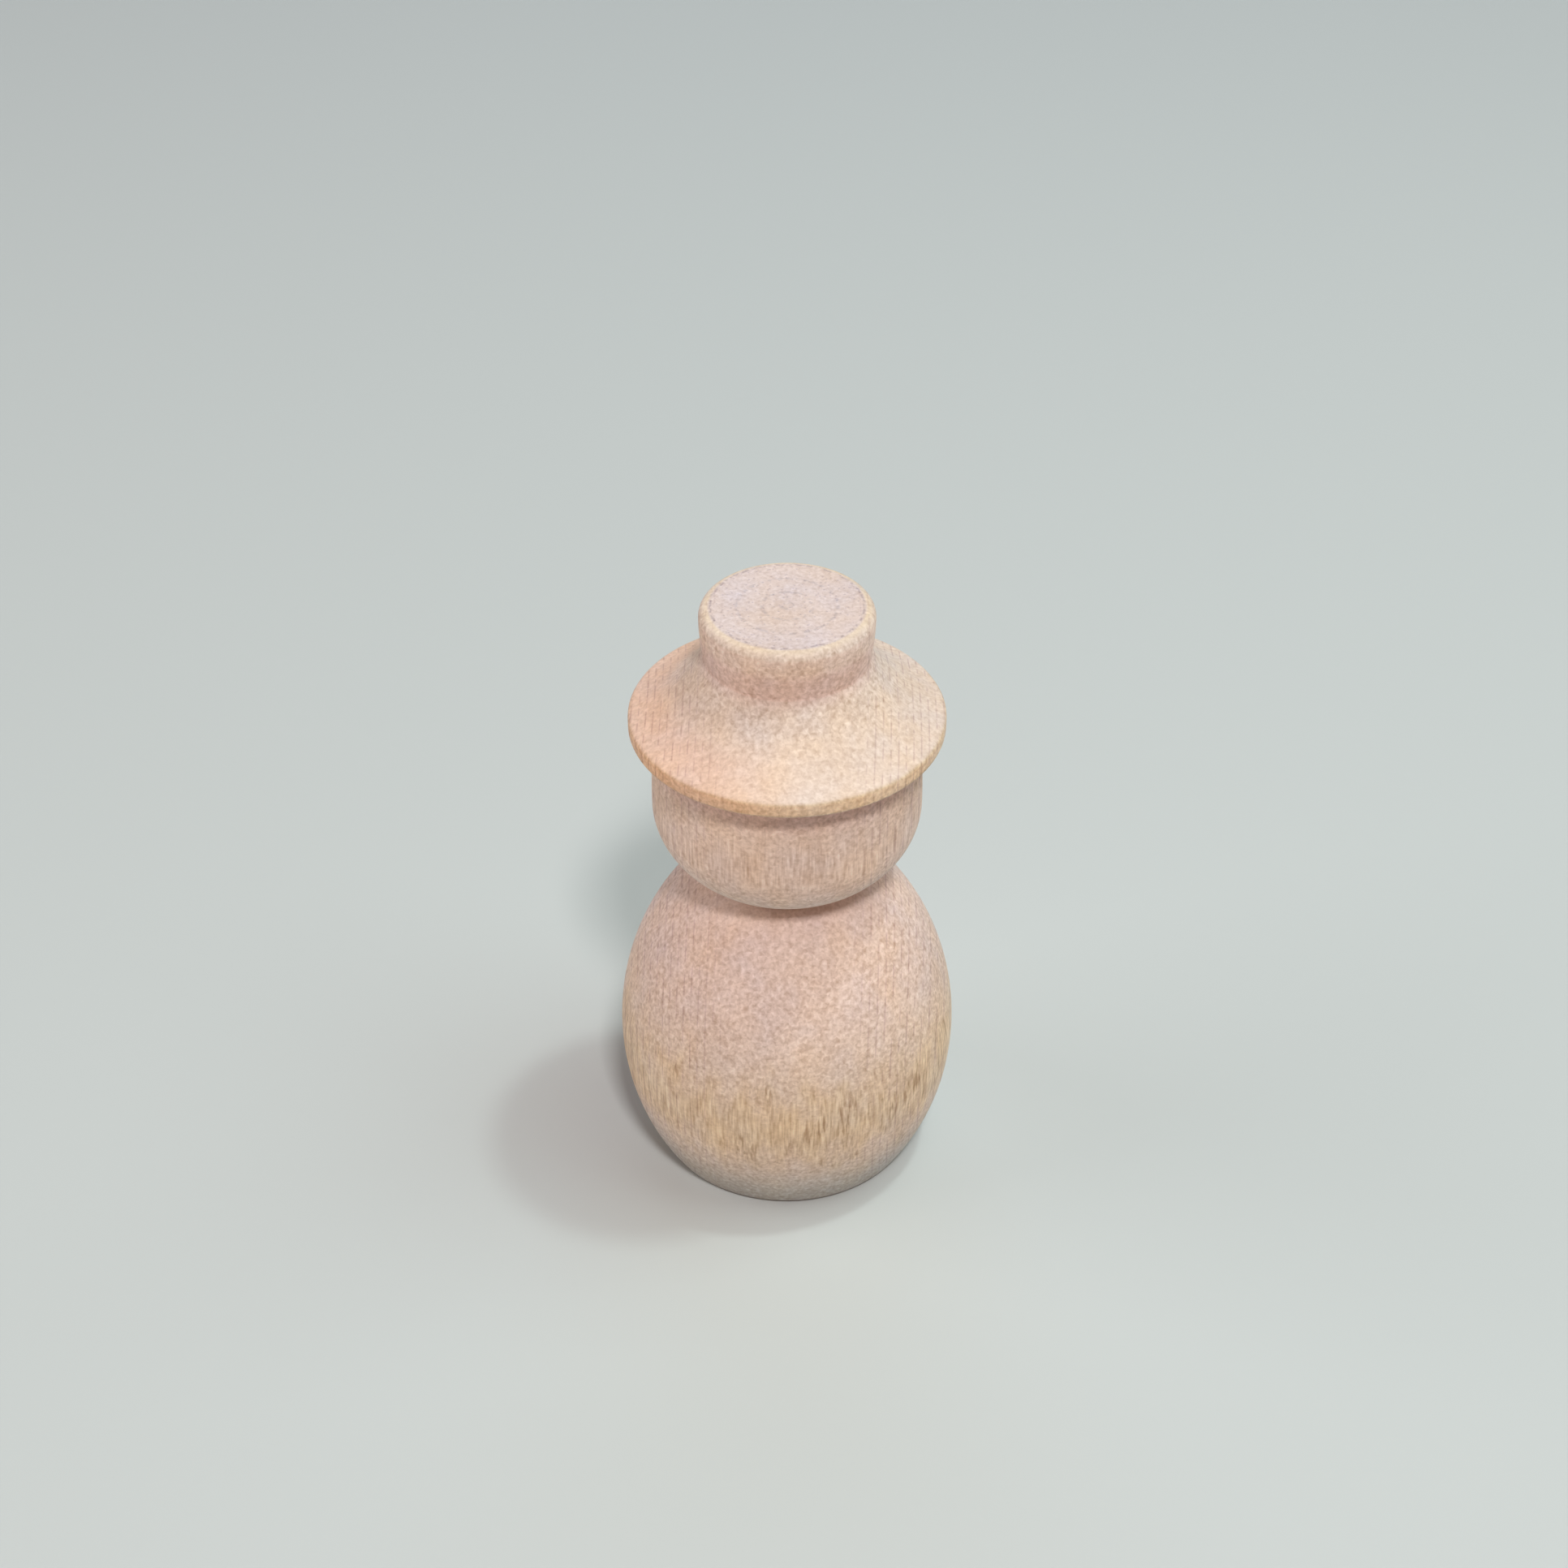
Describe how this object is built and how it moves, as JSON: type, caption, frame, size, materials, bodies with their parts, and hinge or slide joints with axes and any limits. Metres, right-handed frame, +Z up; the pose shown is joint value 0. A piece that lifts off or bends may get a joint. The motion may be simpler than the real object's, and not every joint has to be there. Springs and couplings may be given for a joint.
{
  "type": "turned wooden peg figure",
  "caption": "Free-standing turned wooden game figure: a bulbous body with a rounded head and a brimmed, flat-topped hat, standing on a flat base.",
  "frame": {"origin": "middle of the flat base, on the surface that the figure stands on", "axes": "+Z up along the turning axis, through body, head and hat; +X and +Y are free, since every piece is round"},
  "size_m": [0.0318, 0.0318, 0.06],
  "materials": {
    "body_wood": "bare, sanded, matt",
    "head_wood": "bare, sanded, matt",
    "hat_wood": "bare, sanded, matt"
  },
  "bodies": {
    "root": {"body": "body_wood", "head": "head_wood", "hat": "hat_wood"}
  },
  "joints": []
}
